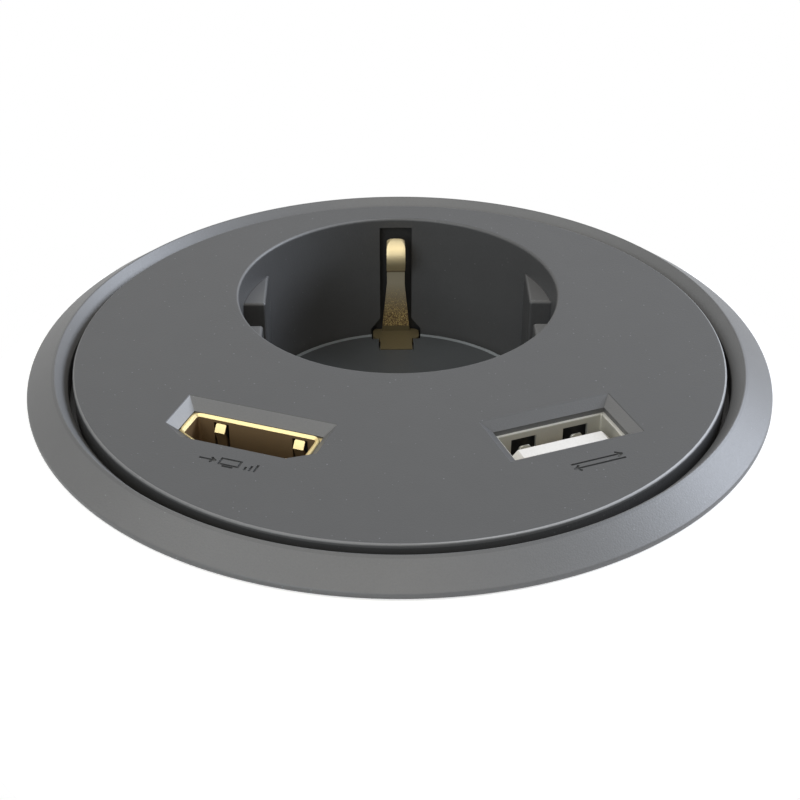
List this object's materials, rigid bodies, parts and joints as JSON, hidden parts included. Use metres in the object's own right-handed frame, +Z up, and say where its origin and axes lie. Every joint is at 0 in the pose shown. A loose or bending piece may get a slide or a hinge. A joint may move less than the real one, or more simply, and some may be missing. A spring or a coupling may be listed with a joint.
{
  "type": "desk socket",
  "caption": "Round flush desk socket for an 80 mm cable hole: side-earth mains well, trapezoid video port and flat data port, held by a ring nut under the desk.",
  "frame": {"origin": "centre of the desk hole, on the desk's top surface, under the flange", "axes": "+Z up out of the desk, +Y towards the mains well, +X towards the data port"},
  "size_m": [0.092, 0.092, 0.0629],
  "materials": {
    "ring_plastic": "fine textured matte, anthracite with pale flakes",
    "plate_plastic": "fine textured matte, anthracite with pale flakes",
    "floor_plastic": "fine textured matte, dark anthracite",
    "inner_plastic": "smooth grey moulding",
    "shutter_plastic": "smooth pale moulding",
    "cover_plastic": "fine textured matte black",
    "gland_plastic": "satin black",
    "nut_plastic": "satin black",
    "seal_rubber": "soft matte black",
    "earth_brass": "bright on the bulge, dull on the leg",
    "contact_brass": "satin sheet",
    "spring_steel": "bright wire",
    "screw_steel": "zinc plated",
    "washer_steel": "zinc plated sheet",
    "gilded_sheet": "gold flashed sheet",
    "gilded_contact": "gold flashed",
    "nickel_sheet": "nickel plated sheet",
    "black_insulator": "smooth moulding",
    "white_insulator": "smooth white moulding",
    "board_laminate": "green solder mask"
  },
  "bodies": {
    "socket": {"trim_ring": "ring_plastic", "desk_seal": "seal_rubber", "face_plate": "plate_plastic", "well_floor": "floor_plastic", "earth_spring": "earth_brass", "contact_block": "inner_plastic", "shutter_spring": "spring_steel", "live_contact": "contact_brass", "neutral_contact": "contact_brass", "terminal_screws": "screw_steel", "block_screws": "screw_steel", "video_shell": "gilded_sheet", "video_tongue": "black_insulator", "video_contacts": "gilded_contact", "video_board": "board_laminate", "video_rear_shell": "gilded_sheet", "video_rear_tongue": "black_insulator", "data_shell": "nickel_sheet", "data_tongue": "white_insulator", "data_contacts": "gilded_contact", "data_board": "board_laminate", "data_rear_shell": "nickel_sheet", "data_rear_tongue": "white_insulator", "rear_cover": "cover_plastic", "cover_screws": "screw_steel", "gland_body": "gland_plastic", "gland_locknut": "gland_plastic", "gland_seal": "seal_rubber", "gland_nut": "gland_plastic"},
    "washer": {"clamp_washer": "washer_steel"},
    "nut": {"lock_nut": "nut_plastic"},
    "guard": {"shutter": "shutter_plastic"}
  },
  "joints": [
    {"name": "washer_slide", "type": "slide", "parent": "socket", "child": "washer", "axis": [0, 0, 1], "range_m": [-0.009, 0.015]},
    {"name": "nut_turn", "type": "hinge", "parent": "washer", "child": "nut", "pos_m": [0, 0, -0.018], "axis": [0, 0, 1], "range_deg": [-1080, 1800]},
    {"name": "shutter_turn", "type": "hinge", "parent": "socket", "child": "guard", "pos_m": [0, 0.01395, -0.018], "axis": [0, 0, -1], "range_deg": [0, 40], "stiffness_Nm_per_rad": 0.001, "springref_deg": -17.19}
  ],
  "couplings": [
    {"joint": "washer_slide", "follows": "nut_turn", "m_per_rad": 0.00047746}
  ]
}
